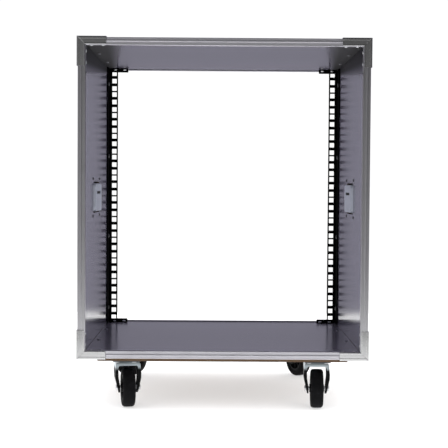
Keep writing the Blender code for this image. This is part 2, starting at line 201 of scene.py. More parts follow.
def greyFilm():
    look = filmLook
    finish = newFinish("greyFilm", {"Specular IOR Level": 0.35})
    grain = finish.cells(look["grain"])
    fine = finish.noise(2400, 2)
    cloud = finish.noise(9, 4)
    scuff = finish.fade(finish.noise((420, 60, 420), 5, 0.7), 0.66, 0.82)
    grey = look["grey"]
    base = finish.mix(cloud, scaled(grey, 0.90), scaled(grey, 1.10))
    base = finish.mix(scuff * 0.05, base, scaled(grey, 1.5))
    top = ceiling * mm
    wall = innerWall * mm
    height = finish.axis("Z")
    aside = abs(finish.axis("X"))
    narrowed = 1 - (finish.axis("Y") + halfDepth * mm) * (look["narrowing"] / (2 * halfDepth * mm))
    fromTop = 1 - finish.fade((top - height) / narrowed, *look["downTop"])
    fromSide = 1 - finish.fade((wall - aside) / narrowed, *look["inFromSide"])
    inside = finish.fade(top + look["skinDepth"] - height, 0.0, 0.001)
    inside = inside * finish.fade(wall + look["skinDepth"] - aside, 0.0, 0.001)
    # painted shade: the two upper inside corners darkened to near black and made duller, narrowing towards
    # the rear
    corner = fromTop * fromSide * inside
    start, full = look["topDepth"]
    # painted shade: the underside of the top panel is coloured darker than the walls
    ceilingShade = finish.fade(height, top - start, top - full) * inside
    base = finish.mix(ceilingShade * look["ceilingShade"], base, scaled(grey, look["ceilingShadeTone"]))
    base = finish.mix(corner, base, scaled(grey, look["cornerShade"]))
    rough = look["roughness"] + cloud * 0.05 + scuff * 0.03 + corner * look["cornerDull"]
    normal = finish.bump(grain * 0.7 + fine * 0.3, look["grainDepth"], 0.55)
    finish.show({"Base Color": base, "Roughness": rough, "Normal": normal})
    return finish.owner


# cut ply edges: thin veneers across the sheet's thickness
plyLook = {"light": (0.46, 0.31, 0.19), "dark": (0.20, 0.115, 0.065), "veneer": 1.35}


def plyEdge(name, letter, tone=1.0):
    finish = newFinish(name, {"Specular IOR Level": 0.2})
    depth = finish.axis(letter) / (plyLook["veneer"] * mm) + finish.noise(60, 2) * 0.35
    band = abs(finish.wave("FRACT", depth) - 0.5) * 2
    fibre = finish.noise((900, 900, 90), 4) if letter != "Z" else finish.noise((90, 90, 1400), 4)
    wood = finish.mix(finish.fade(band, 0.30, 0.62), scaled(plyLook["dark"], tone),
                      scaled(plyLook["light"], tone))
    wood = finish.mix(fibre * 0.5, wood, scaled(plyLook["dark"], tone * 0.8))
    finish.show({"Base Color": wood, "Roughness": 0.62 + fibre * 0.2,
                 "Normal": finish.bump(band * 0.4 + fibre * 0.6, 0.18, 0.6)})
    return finish.owner


# brown film of the caster board, with a fine wire-mesh press mark
boardLook = {"brown": (0.115, 0.075, 0.052), "mesh": 1560}


def boardFilm():
    finish = newFinish("boardFilm")
    alongX = abs(finish.wave("SINE", finish.axis("X") * boardLook["mesh"]))
    alongY = abs(finish.wave("SINE", finish.axis("Y") * boardLook["mesh"]))
    cloud = finish.noise(14, 4)
    base = finish.mix(cloud, scaled(boardLook["brown"], 0.75), scaled(boardLook["brown"], 1.3))
    finish.show({"Base Color": base, "Roughness": 0.42 + cloud * 0.2,
                 "Normal": finish.bump(alongX * alongY, 0.08, 0.5)})
    return finish.owner


# metals: drawn or plated, with streaks along the piece, dull patches and fine scratches;
# "along" turns the stretched gloss of a drawn piece, and the others have an even gloss
metalLooks = {
    # the top and bottom profiles are tinted lighter than the same aluminium on the uprights: painted light
    "drawnX": {"tint": (0.70, 0.69, 0.74), "streak": (4, 900, 900), "rough": 0.33, "spread": 0.12,
               "along": 0.25},
    "drawnY": {"tint": (0.58, 0.575, 0.60), "streak": (900, 4, 900), "rough": 0.27, "spread": 0.12},
    "drawnZ": {"tint": (0.58, 0.575, 0.60), "streak": (900, 900, 4), "rough": 0.27, "spread": 0.12,
               "along": 0.0},
    "bracketSteel": {"tint": (0.52, 0.52, 0.525), "streak": (260, 260, 260), "rough": 0.10, "spread": 0.10},
    "zincDish": {"tint": (0.58, 0.61, 0.71), "streak": (120, 260, 90), "rough": 0.40, "spread": 0.14,
                 "metal": 0.3},
    # the caster top plates: near black, a painted shade for the dark gap between the board and the fork
    # crown
    "shadedPlate": {"tint": (0.07, 0.078, 0.08), "streak": (120, 260, 90), "rough": 0.36, "spread": 0.14},
    "rivetSteel": {"tint": (0.58, 0.58, 0.60), "streak": (500, 500, 500), "rough": 0.24, "spread": 0.12},
    "rivetTail": {"tint": (0.30, 0.30, 0.33), "streak": (500, 500, 500), "rough": 0.34, "spread": 0.12},
    # dark steel of bolts, rivet tails and springs, made darker still as a painted shade for the caster race
    # between plate and crown
    "pinSteelAndShade": {"tint": (0.12, 0.124, 0.128), "streak": (380, 380, 380), "rough": 0.36, "spread": 0.2},
    "brightBolt": {"tint": (0.72, 0.73, 0.75), "streak": (600, 600, 600), "rough": 0.22, "spread": 0.14},
}


def metal(name):
    look = metalLooks[name]
    finish = newFinish(name, {"Metallic": look.get("metal", 1.0)})
    if "along" in look:
        finish.show({"Anisotropic": 0.85, "Anisotropic Rotation": look["along"]})
    streak = finish.noise(look["streak"], 4, 0.65)
    cloud = finish.noise(22, 5, 0.6)
    scratch = finish.fade(finish.noise((240, 1900, 300), 3, 0.7), 0.68, 0.78)
    tint = look["tint"]
    base = finish.mix(streak, scaled(tint, 0.86), scaled(tint, 1.10))
    base = finish.mix(finish.fade(cloud, 0.50, 0.80) * 0.35, base, scaled(tint, 0.72))
    rough = look["rough"] + streak * look["spread"] + cloud * 0.08 - scratch * 0.08
    normal = finish.bump(streak * 0.8 + scratch * 0.5, 0.035, 0.5)
    finish.show({"Base Color": base, "Roughness": rough, "Normal": normal})
    return finish.owner


# pressed fork: bright zinc on the crown, with painted shade darkening the crown towards its top under the
# plate, and the zinc legs coloured near black as painted shade and painted dark reflection
forkLook = {"zinc": (0.64, 0.72, 0.76), "black": (0.006, 0.0065, 0.007), "legs": (0.0665, 0.0725),
            "shadedTop": (0.0755, 0.0808)}


def forkPlate():
    look = forkLook
    finish = newFinish("forkPlate", {"Specular IOR Level": 0.12})
    height = finish.axis("Z") + (finish.noise(90, 3) - 0.5) * 0.004
    # painted shade: below the crown the legs are coloured near black and not metallic
    crown = finish.fade(height, *look["legs"])
    cloud = finish.noise(70, 4)
    grain = finish.noise(900, 3)
    zinc = finish.mix(cloud, scaled(look["zinc"], 0.85), scaled(look["zinc"], 1.1))
    # painted shade: the crown darkened towards its top, under the plate
    shadedTop = finish.fade(finish.axis("Z"), *look["shadedTop"])
    zinc = finish.mix(shadedTop * 0.9, zinc, scaled(look["zinc"], 0.22))
    finish.show({"Base Color": finish.mix(crown, look["black"], zinc),
                 "Metallic": crown * 0.98, "Roughness": 0.44 - crown * 0.16 + cloud * 0.12,
                 "Normal": finish.bump(grain, 0.03, 0.5)})
    return finish.owner


# black finishes: powder coat on the rails, moulded rubber and nylon on wheels and grips
blackLooks = {
    "railCoat": {"tone": 0.0025, "grain": 1500, "depth": 0.04, "rough": 0.60, "wear": 0.06, "shine": 0.004},
    "tyreRubber": {"tone": 0.0055, "grain": 900, "depth": 0.05, "rough": 0.55, "wear": 0.30, "shine": 0.06},
    "hubNylon": {"tone": 0.006, "grain": 1900, "depth": 0.03, "rough": 0.42, "wear": 0.12, "shine": 0.12},
    "gripRubber": {"tone": 0.012, "grain": 1300, "depth": 0.06, "rough": 0.60, "wear": 0.15, "shine": 0.15},
}


def black(name):
    look = blackLooks[name]
    finish = newFinish(name, {"Specular IOR Level": look["shine"]})
    grain = finish.noise(look["grain"], 3)
    dust = finish.fade(finish.noise(55, 5, 0.65), 0.48, 0.80)
    tone = (look["tone"], look["tone"], look["tone"] * 1.12)
    base = finish.mix(dust * look["wear"], tone, scaled(tone, 5.0))
    finish.show({"Base Color": base, "Roughness": look["rough"] + dust * 0.22 + grain * 0.08,
                 "Normal": finish.bump(grain, look["depth"], 0.6)})
    return finish.owner


finishes = {"greyFilm": greyFilm(), "boardFilm": boardFilm(), "forkPlate": forkPlate(),
            "plyX": plyEdge("plyEdgeX", "X", 0.35), "plyZ": plyEdge("plyEdgeZ", "Z"),
            "boardPly": plyEdge("boardPlyEdge", "Z", 0.40)}
finishes.update({name: metal(name) for name in metalLooks})
finishes.update({name: black(name) for name in blackLooks})
print("finishes ready:", len(finishes))


def skin(rings, closed=False):  # rings of millimetre points, capped at both ends or closed on itself
    bm = bmesh.new()
    rows = [[bm.verts.new(Vector(point) * mm) for point in ring] for ring in rings]
    count = len(rows[0])
    for low, high in list(zip(rows, rows[1:])) + ([(rows[-1], rows[0])] if closed else []):
        for i in range(count):
            j = (i + 1) % count
            bm.faces.new((low[i], low[j], high[j], high[i]))
    if not closed:
        bm.faces.new(rows[0])
        bm.faces.new(rows[-1][::-1])
    return bm


def turned(profile, segments, put, start=0.0):  # a closed (radius, height) outline turned about its axis
    rings = []
    for i in range(segments):
        angle = start + math.tau * i / segments
        rings.append([put(r * math.cos(angle), r * math.sin(angle), h) for r, h in profile])
    bm = skin(rings, True)
    bmesh.ops.remove_doubles(bm, verts=bm.verts, dist=1e-6)
    bmesh.ops.dissolve_degenerate(bm, edges=bm.edges, dist=1e-7)
    return bm


def rounded(outline, radius, steps=3):  # rounds every corner of a closed outline
    points = [Vector(point) for point in outline]
    result = []
    for i, here in enumerate(points):
        before = points[i - 1] - here
        after = points[(i + 1) % len(points)] - here
        if before.angle(after) > math.radians(172):
            result.append(tuple(here))
            continue
        reach = min(radius / math.tan(before.angle(after) / 2), 0.48 * before.length, 0.48 * after.length)
        arrive = here + before.normalized() * reach
        leave = here + after.normalized() * reach
        for step in range(steps + 1):
            t = step / steps
            result.append(tuple((1 - t) ** 2 * arrive + 2 * t * (1 - t) * here + t * t * leave))
    return result


def roundRectangle(halfU, halfV, radius, steps=8):  # steps is the count of edges in each corner
    points = []
    for corner, (su, sv) in enumerate(((1, 1), (-1, 1), (-1, -1), (1, -1))):
        for step in range(steps + 1):
            angle = math.radians(90 * corner + 90 * step / steps)
            points.append((su * (halfU - radius) + radius * math.cos(angle),
                           sv * (halfV - radius) + radius * math.sin(angle)))
    return points


def soften(bm, width, segments=2, angle=28):  # bevels the sharp edges
    bmesh.ops.recalc_face_normals(bm, faces=bm.faces)
    sharp = [e for e in bm.edges if len(e.link_faces) == 2 and e.calc_face_angle() > math.radians(angle)]
    bmesh.ops.bevel(bm, geom=sharp, offset=width * mm, segments=segments, profile=0.5,
                    affect="EDGES", clamp_overlap=True)
    return bm


def fromNode(node):  # an editable copy of a CAD node's shape, without its triangulation
    bm = bmesh.new()
    bm.from_mesh(cadNodes[node].data)
    bmesh.ops.remove_doubles(bm, verts=bm.verts, dist=2e-6)
    bmesh.ops.dissolve_limit(bm, angle_limit=math.radians(1.0), verts=bm.verts, edges=bm.edges)
    return bm


def shade(mesh, angle):  # smooth bends, while the large flats beside them stay flat
    limit = math.cos(math.radians(angle))
    around = [[] for _ in mesh.vertices]
    faces = [(Vector(face.normal), face.area) for face in mesh.polygons]
    for face in mesh.polygons:
        for corner in face.vertices:
            around[corner].append(faces[face.index])
    normals = []
    for face in mesh.polygons:
        own = faces[face.index][0]
        for corner in face.vertices:
            total = Vector()
            for normal, area in around[corner]:
                if normal.dot(own) > limit:
                    total += normal * area
            normals.append(total.normalized() if total.length > 1e-12 else own)
    mesh.shade_smooth()
    mesh.normals_split_custom_set(normals)


# a finished piece: it takes the place of a CAD node, or rides on a body as an addition of its own
def piece(name, bm, finish, node=None, body=None, slot=None, smooth=smoothAngle, extra=None):
    bmesh.ops.recalc_face_normals(bm, faces=bm.faces)
    mesh = bpy.data.meshes.new(name)
    bm.to_mesh(mesh)
    bm.free()
    mesh.materials.append(finishes[finish])
    if extra:
        mesh.materials.append(finishes[extra])
    shade(mesh, smooth)
    obj = bpy.data.objects.new(name, mesh)
    bpy.context.scene.collection.objects.link(obj)
    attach(obj, body or bodyOf[node])
    if node:
        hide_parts(node)
    slot or slotOf[node]
    return obj


def merge(shapes):  # several closed shapes in one mesh
    joined = bmesh.new()
    for shape in shapes:
        bmesh.ops.recalc_face_normals(shape, faces=shape.faces)
        part = bpy.data.meshes.new("part")
        shape.to_mesh(part)
        shape.free()
        joined.from_mesh(part)
        bpy.data.meshes.remove(part)
    return joined


def facing(point, normal, turn=0.0):  # local (x, y, height) to the row frame, height along the normal
    axis = Vector(normal).normalized()
    side = axis.orthogonal().normalized()
    other = axis.cross(side)
    origin = Vector(point)
    c, s = math.cos(turn), math.sin(turn)
    return lambda x, y, h: origin + side * (x * c - y * s) + other * (x * s + y * c) + axis * h


# domed rivets and their clenched tails
rivetSize = {"radius": 4.3, "height": 1.5, "tailRadius": 2.9, "tailHeight": 1.2, "sunk": -0.4}


def rivetHead(point, normal, radius=rivetSize["radius"], height=rivetSize["height"]):
    sunk = rivetSize["sunk"]
    dome = [(0.0, sunk), (radius, sunk), (radius, 0.12)]
    steps = 6
    for step in range(1, steps + 1):
        angle = math.radians(90 * step / steps)
        dome.append((radius * 0.97 * math.cos(angle), 0.2 + (height - 0.2) * math.sin(angle)))
    return turned(dome, 20, facing(point, normal))


def rivetTail(point, normal):
    r, h, sunk = rivetSize["tailRadius"], rivetSize["tailHeight"], rivetSize["sunk"]
    ring = [(0.0, sunk), (r, sunk), (r * 1.02, 0.3), (r * 0.86, h * 0.85), (r * 0.62, h),
            (r * 0.42, h * 0.75), (r * 0.30, h * 0.25), (0.0, h * 0.2)]
    return turned(ring, 18, facing(point, normal, dice.random()))


# a point of an end frame: across its face from the outside in, and into the case from the end;
# armX and armZ are the distances from the corner along the top or bottom and up or down a side
def framePoint(end, sx, sz, across, depth, armX=None, armZ=None):
    x = halfWidth - (across if armX is None else armX)
    z = halfHeight - (across if armZ is None else armZ)
    return (sx * x, end * (halfDepth - depth), middleZ + sz * z)


# end frames: drawn profile with a locating tongue, a groove, an inner lip and two lines on its leg
profileSize = {"face": 14.0, "leg": 28.0, "sheet": 2.4, "lip": 8.0, "slot": 5.0, "round": 0.45,
               "lines": (12.0, 17.0), "lineDepth": 0.35, "mitreGap": 0.15}


def profileSection():
    p = profileSize
    section = [(0.0, 1.8), (0.8, 1.0), (4.6, 1.0), (5.2, 0.0), (7.2, 0.0), (7.8, 1.0), (11.4, 1.0),
               (12.0, 0.9), (13.4, 0.9), (p["face"], 1.5), (p["face"], p["lip"]),
               (p["face"] - 1.5, p["lip"]), (p["face"] - 1.5, p["slot"]), (p["sheet"], p["slot"]),
               (p["sheet"], p["leg"]), (0.0, p["leg"])]
    for line in reversed(p["lines"]):
        section += [(0.0, line + 1.0), (p["lineDepth"], line + 0.5), (p["lineDepth"], line - 0.5),
                    (0.0, line - 1.0)]
    return rounded(section, p["round"])


def endFrames():
    section = profileSection()
    gap = profileSize["mitreGap"]
    for end, ey in ends.items():
        for level, sz in levels.items():
            rings = [[framePoint(ey, sx, sz, a, d, armX=a + gap) for a, d in section] for sx in (-1, 1)]
            node = f"{end}_{level}_profile"
            piece(node + "_drawn", skin(rings), "drawnX", node)
        for side, sx in sides.items():
            rings = [[framePoint(ey, sx, sz, a, d, armZ=a + gap) for a, d in section] for sz in (-1, 1)]
            node = f"{end}_{side}_profile"
            piece(node + "_drawn", skin(rings), "drawnZ", node)


# corner brackets: folded channel with a pressed panel, scored along the mitre, with rivets
bracketSize = {"arm": 50.0, "proud": 1.5, "gap": 0.3, "face": 12.5, "wrap": 26.0, "shoulder": 1.9,
               "rim": 3.0, "pressed": 0.2, "score": 0.25, "scoreHalf": 0.8, "crisp": 14,
               "rivets": (24.0, 44.0), "headDepth": 13.0, "tailDepth": 5.0}


def bracketSection(dip=0.0):
    b = bracketSize
    over = b["proud"] + b["gap"]
    front = -b["proud"] + dip
    curve = b["shoulder"]
    outline = [(-over, b["wrap"])]
    for degrees in range(0, 91, 10):
        angle = math.radians(degrees)
        outline.append((-over + curve * (1 - math.cos(angle)), front + curve * (1 - math.sin(angle))))
    low = front + b["pressed"]
    outline += [(b["rim"] - 0.7, front), (b["rim"], low), (b["face"] - 2.4, low), (b["face"] - 1.7, front),
                (b["face"] - 0.4, front), (b["face"], front + 0.4), (b["face"], -b["gap"]),
                (-b["gap"], -b["gap"]), (-b["gap"], b["wrap"])]
    return outline


def cornerBrackets():
    b = bracketSize
    near = b["scoreHalf"]
    outline = bracketSection()
    outside = -(b["proud"] + b["gap"])
    lip = profileSize["face"]
    heads = []
    tails = []
    for end, ey in ends.items():
        for level, sz in levels.items():
            for side, sx in sides.items():
                rings = [[framePoint(ey, sx, sz, a, d, armX=b["arm"]) for a, d in outline],
                         [framePoint(ey, sx, sz, a, d, armX=a + near) for a, d in outline],
                         [framePoint(ey, sx, sz, a, d) for a, d in bracketSection(b["score"])],
                         [framePoint(ey, sx, sz, a, d, armZ=a + near) for a, d in outline],
                         [framePoint(ey, sx, sz, a, d, armZ=b["arm"]) for a, d in outline]]
                node = f"bracket_{end}_{level}_{side}"
                piece(node + "_pressed", skin(rings), "bracketSteel", node, smooth=b["crisp"])
                for reach in b["rivets"]:
                    for arm, out in (("armX", Vector((0, 0, sz))), ("armZ", Vector((sx, 0, 0)))):
                        place = framePoint(ey, sx, sz, outside, b["headDepth"], **{arm: reach})
                        heads.append(rivetHead(place, out))
                        place = framePoint(ey, sx, sz, lip, b["tailDepth"], **{arm: reach})
                        tails.append(rivetTail(place, -out))
    piece("bracket_rivet_heads", merge(heads), "rivetSteel", body="case", slot="bolt_steel")
    piece("bracket_rivet_tails", merge(tails), "brightBolt", body="case", slot="bolt_steel")


# rivets along the end frames and the four long edges
seamSize = {"radius": 3.6, "height": 1.2, "depth": 22.5, "lipDepth": 6.0, "first": 62.0, "pitch": 146.0,
            "edgeIn": 22.0, "rows": (150.0, 300.0)}


def spread(half, first, pitch):  # even places between -half and half, about a pitch apart
    span = 2 * (half - first)
    count = max(1, round(span / pitch))
    return [-half + first + span * i / count for i in range(count + 1)]


def seamRivets():
    s = seamSize
    size = (s["radius"], s["height"])
    lip = profileSize["face"]
    heads = []
    tails = []
    for ey in ends.values():
        for sz in levels.values():
            for x in spread(halfWidth, s["first"], s["pitch"]):
                place = framePoint(ey, 1, sz, 0, s["depth"], armX=halfWidth - x)
                heads.append(rivetHead(place, (0, 0, sz), *size))
        for sx in sides.values():
            rows = spread(halfHeight, s["first"], s["pitch"])
            for z in rows:
                place = framePoint(ey, sx, 1, 0, s["depth"], armZ=halfHeight - z)
                heads.append(rivetHead(place, (sx, 0, 0), *size))
            for z in (rows[0], rows[-1]):
                place = framePoint(ey, sx, 1, lip, s["lipDepth"], armZ=halfHeight - z)
                tails.append(rivetTail(place, (-sx, 0, 0)))
    for sx in sides.values():
        for sz in levels.values():
            for row in s["rows"]:
                y = -halfDepth + row
                x = sx * (halfWidth - s["edgeIn"])
                inner = ceiling if sz > 0 else deck
                heads.append(rivetHead((x, y, middleZ + sz * halfHeight), (0, 0, sz), *size))
                tails.append(rivetTail((x, y, inner), (0, 0, -sz)))
                z = middleZ + sz * (halfHeight - s["edgeIn"])
                heads.append(rivetHead((sx * halfWidth, y, z), (sx, 0, 0), *size))
    piece("seam_rivet_heads", merge(heads), "rivetSteel", body="case", slot="bolt_steel")
    piece("seam_rivet_tails", merge(tails), "rivetTail", body="case", slot="bolt_steel")


def edgeAngles():
    for level in levels:
        for side in sides:
            node = f"{level}_{side}_edge_angle"
            piece(node + "_drawn", soften(fromNode(node), 0.5, 3), "drawnY", node)


# panels: film on the faces, veneers on every cut edge; each row gives the direction of the
# sheet's thickness, its edge radius and bevel steps, its film and its cut edge
panelRows = {
    "top_panel": (2, 0.35, 1, "greyFilm", "plyZ"),
    "bottom_panel": (2, 0.35, 1, "greyFilm", "plyZ"),
    "left_side_panel": (0, 0.35, 1, "greyFilm", "plyX"),
    "right_side_panel": (0, 0.35, 1, "greyFilm", "plyX"),
    "caster_board": (2, 0.6, 2, "boardFilm", "boardPly"),
}


def panels():
    for node, (axis, edge, steps, film, cutEdge) in panelRows.items():
        bm = soften(fromNode(node), edge, steps)
        for face in bm.faces:
            face.material_index = 0 if abs(face.normal[axis]) > 0.5 else 1
        piece(node + "_filmed", bm, film, node, extra=cutEdge)


# rack rails: holes with softened edges, and the bolts that hold the side flange
railSize = {"edge": 0.3, "flange": 2.3, "boltIn": 14.0, "boltRadius": 4.2, "boltHeight": 2.2,
            "boltRows": (-236.0, -84.0, 84.0, 236.0)}


def hexHead(point, normal, radius, height, turn=0.0):  # hexagon head with a round washer face
    put = facing(point, normal, turn)
    washer = turned([(0.0, -0.3), (radius * 1.25, -0.3), (radius * 1.25, 0.7), (0.0, 0.7)], 24, put)
    steps = 36
    outline = []
    for i in range(steps):
        angle = math.tau * i / steps
        flat = (angle + math.pi / 6) % (math.pi / 3) - math.pi / 6
        outline.append((angle, radius * math.cos(math.pi / 6) / math.cos(flat)))
    rings = []
    for trim, h in ((1.0, 0.5), (1.0, height * 0.8), (0.9, height), (0.5, height * 1.02)):
        rings.append([put(r * trim * math.cos(a), r * trim * math.sin(a), h) for a, r in outline])
    return [washer, skin(rings)]


def panHead(point, normal, radius, height):  # domed screw head with a small round dip at its centre
    dome = [(0.0, -0.3), (radius, -0.3), (radius, height * 0.35), (radius * 0.86, height * 0.78),
            (radius * 0.55, height), (radius * 0.22, height * 0.98), (radius * 0.10, height * 0.45),
            (0.0, height * 0.4)]
    return turned(dome, 24, facing(point, normal))


footSize = {"inner": 203.0, "outer": 240.0, "behind": 2.4, "depth": 17.0, "sheet": 1.8, "lip": 7.0,
            "gap": 0.05, "bolts": (210.0, 230.0), "boltRadius": 3.6, "boltHeight": 2.0}


def railFeet():  # tabs that tie the ends of the rails to the top and bottom panels
    f = footSize
    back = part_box("rack_rail_left")[1].y / mm - f["behind"]
    front = back - f["depth"]
    step = back - f["sheet"]
    section = rounded([(back, 0.0), (back, f["lip"]), (step, f["lip"]), (step, f["sheet"]),
                       (front, f["sheet"]), (front, 0.0)], 0.5)
    tabs = []
    bolts = []
    for sx in sides.values():
        for z, sz in ((ceiling, -1), (deck, 1)):
            tabs.append(skin([[(sx * x, y, z + sz * (h + f["gap"])) for y, h in section]
                              for x in (f["inner"], f["outer"])]))
            for x in f["bolts"]:
                place = (sx * x, back - f["depth"] * 0.6, z + sz * f["sheet"])
                bolts.append(panHead(place, (0, 0, sz), f["boltRadius"], f["boltHeight"]))
    piece("rail_feet", merge(tabs), "railCoat", body="case", slot="black_rail")
    piece("rail_foot_bolts", merge(bolts), "brightBolt", body="case", slot="bolt_steel")


def rackRails():
    r = railSize
    bolts = []
    for side, sx in sides.items():
        node = "rack_rail_" + side
        piece(node + "_coated", soften(fromNode(node), r["edge"], 1, 40), "railCoat", node)
        x = (innerWall - r["flange"]) * sx
        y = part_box(node)[0].y / mm + r["boltIn"]
        for z in r["boltRows"]:
            bolts.append(panHead((x, y, middleZ + z), (-sx, 0, 0), r["boltRadius"], r["boltHeight"]))
    piece("rail_bolts", merge(bolts), "pinSteelAndShade", body="case", slot="pin_steel")
    railFeet()


# recessed handles: pressed dish with a slot and a pad behind it, bail, grip sleeve and spring
dishSize = {"sheet": 1.2, "draft": 1.5, "halfU": 50.0, "halfV": 27.5, "plate": 1.5, "flange": 15.2,
            "round": 7.0, "press": 1.6, "slotU": 33.0, "slotV": 2.5, "padU": 37.0, "padV": 5.5,
            "pad": 1.0, "hole": 3.5, "rivetU": 55.5, "rivetV": 35.0, "rivetRadius": 3.8, "rivetHeight": 1.1}
bailSize = {"radius": 3.0, "half": 39.0, "arm": 35.0, "bend": 4.0, "past": 0.8, "sides": 20,
            "gripRadius": 6.5, "gripHalf": 33.5, "ribs": 9, "ribDepth": 0.7, "ribbed": 6.0,
            "wire": 0.6, "turns": 3, "pitch": 1.35}


def bailPivot(side):
    return Vector(joints[f"handle_{side}_lift"]["pos_m"]) / mm


def cutWith(obj, shapes):  # cuts closed shapes out of a piece and keeps the plain result
    cutter = bpy.data.objects.new("cutter", bpy.data.meshes.new("cutter"))
    merge(shapes).to_mesh(cutter.data)
    bpy.context.scene.collection.objects.link(cutter)
    cut = obj.modifiers.new("cut", "BOOLEAN")
    cut.solver = "EXACT"
    cut.object = cutter
    bpy.context.view_layer.update()
    result = bpy.data.meshes.new_from_object(obj.evaluated_get(bpy.context.evaluated_depsgraph_get()))
    obj.modifiers.clear()
    obj.data = result
    bpy.data.objects.remove(cutter, do_unlink=True)
    shade(result, smoothAngle)


def handleDish(side, sx):
    d = dishSize
    node = f"handle_{side}_dish"
    low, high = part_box(node)
    centreY = (low.y + high.y) / 2 / mm
    centreZ = (low.z + high.z) / 2 / mm
    faceX = max(abs(low.x), abs(high.x)) / mm
    backX = min(abs(low.x), abs(high.x)) / mm
    t = d["sheet"]
    middle = -d["halfV"] * 0.9
    plateX = faceX - d["plate"]

    def outline(x, z, halfU, halfV, radius, steps=8):
        return [(sx * x, centreY + u, z + v) for u, v in roundRectangle(halfU, halfV, radius, steps)]

    # how far out from the dish's outer wall each turn of the sheet lies, and where across the wall
    path = [(middle, backX), (-d["draft"], backX), (0.0, plateX), (d["flange"], plateX),
            (d["flange"], faceX), (-t, faceX), (-t - d["draft"], backX + t), (middle, backX + t)]
    bends = [point for point in rounded(path, d["press"], 4) if point[0] > -d["halfV"] * 0.85]
    rings = []
    for out, x in [path[0]] + bends + [path[-1]]:
        radius = max(d["round"] + out * 0.35, 1.2)
        rings.append(outline(x, centreZ, d["halfU"] + out, d["halfV"] + min(out, d["flange"]), radius))
    obj = piece(node + "_pressed", skin(rings), "zincDish", node)
    slotZ = centreZ + d["halfV"] / 3
    cuts = [skin([outline(x, slotZ, d["slotU"], d["slotV"], 1.5, 4) for x in (backX - 3, backX + 4)])]
    pivot = bailPivot(side)
    for end in ends.values():
        put = facing((pivot.x, centreY + end * (d["halfU"] - 1), pivot.z), (0, end, 0))
        cuts.append(turned([(0, -3), (d["hole"], -3), (d["hole"], 3), (0, 3)], 24, put))
    cutWith(obj, cuts)
    pad = [outline(x, slotZ, d["padU"], d["padV"], 2.0, 4) for x in (backX + t + 0.05, backX + t + d["pad"])]
    piece(f"handle_{side}_slot_pad", skin(pad), "gripRubber", body="case",
          slot=slotOf[f"handle_{side}_grip"])
    heads = []
    tails = []
    for u in (-d["rivetU"], d["rivetU"]):
        for v in (-d["rivetV"], d["rivetV"]):
            y, z = centreY + u, centreZ + v
            heads.append(rivetHead((sx * faceX, y, z), (sx, 0, 0), d["rivetRadius"], d["rivetHeight"]))
            tails.append(rivetTail((sx * innerWall, y, z), (-sx, 0, 0)))
    piece(f"handle_{side}_rivets", merge(heads), "rivetSteel", body="case", slot="bolt_steel")
    piece(f"handle_{side}_rivet_tails", merge(tails), "pinSteelAndShade", body="case", slot="pin_steel")


def rodAlong(path, radius, count):  # round rod along a path in the YZ plane of its pivot
    rings = []
    for i, (y, z) in enumerate(path):
        before = path[max(i - 1, 0)]
        after = path[min(i + 1, len(path) - 1)]
        length = math.hypot(after[0] - before[0], after[1] - before[1])
        ty, tz = (after[0] - before[0]) / length, (after[1] - before[1]) / length
        rings.append([(radius * math.sin(a), y - radius * math.cos(a) * tz, z + radius * math.cos(a) * ty)
                      for a in (math.tau * k / count for k in range(count))])
    return rings


def handleBail(side):
    b = bailSize
    pivot = bailPivot(side)
    end = dishSize["halfU"] + b["past"]
    half, bend, arm = b["half"], b["bend"], b["arm"]
    path = [(-end, 0.0), (-half - bend, 0.0)]
    for step in range(1, 9):
        a = math.radians(90 - 90 * step / 8)
        path.append((-half - bend + bend * math.cos(a), -bend + bend * math.sin(a)))
    for step in range(0, 9):
        a = math.radians(180 + 90 * step / 8)
        path.append((-half + bend + bend * math.cos(a), -arm + bend + bend * math.sin(a)))
    path += [(-y, z) for y, z in reversed(path)]
    rings = [[pivot + Vector(point) for point in ring] for ring in rodAlong(path, b["radius"], b["sides"])]
    piece(f"handle_{side}_bail_rod", skin(rings), "brightBolt", f"handle_{side}_bail")
    g, r, ribs = b["gripHalf"], b["gripRadius"], b["ribs"]
    bore = b["radius"] + 0.15
    profile = [(bore, -g), (r - 1.3, -g), (r - 0.4, -g + 0.5), (r, -g + 1.4)]
    span = 2 * (g - b["ribbed"])
    width = span / ribs * 0.30
    floorRadius = r - b["ribDepth"]
    for i in range(ribs):
        centre = -g + b["ribbed"] + span * (i + 0.5) / ribs
        profile += [(r, centre - width), (floorRadius, centre - width * 0.5),
                    (floorRadius, centre + width * 0.5), (r, centre + width)]
    profile += [(r, g - 1.4), (r - 0.4, g - 0.5), (r - 1.3, g), (bore, g)]

    def put(x, y, h):
        return pivot + Vector((x, h, y - arm))

    piece(f"handle_{side}_grip_sleeve", turned(profile, 36, put), "gripRubber", f"handle_{side}_grip")


def handleSpring(side):
    b = bailSize
    node = f"handle_{side}_spring"
    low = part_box(node)[0] / mm
    pivot = bailPivot(side)
    coil = b["radius"] + 0.4 + b["wire"]
    steps = 28
    rings = []
    for i in range(b["turns"] * steps + 1):
        a = math.tau * i / steps
        y = low.y + b["wire"] + b["pitch"] * i / steps
        ring = []
        for k in range(10):
            c = math.tau * k / 10
            reach = coil + b["wire"] * math.cos(c)
            ring.append((pivot.x + reach * math.cos(a), y + b["wire"] * math.sin(c),
                         pivot.z + reach * math.sin(a)))
        rings.append(ring)
    piece(node + "_coil", skin(rings), "pinSteelAndShade", node)


# casters: drawn in their own axes, wheel trailing to -Y, then set at each one's steering angle
casterSize = {"trail": 22.0, "axleZ": 35.0, "tyreRadius": 35.0, "tyreHalf": 11.25, "rim": 23.7,
              "boss": 13.2, "bore": 4.5, "ribs": 8, "plateEdge": 0.45, "forkEdge": 0.7,
              "axleLeg": 20.6, "axleTip": 22.5, "boltU": 15.5, "boltV": 28.0, "boltRadius": 4.6,
              "boltHeight": 1.9}


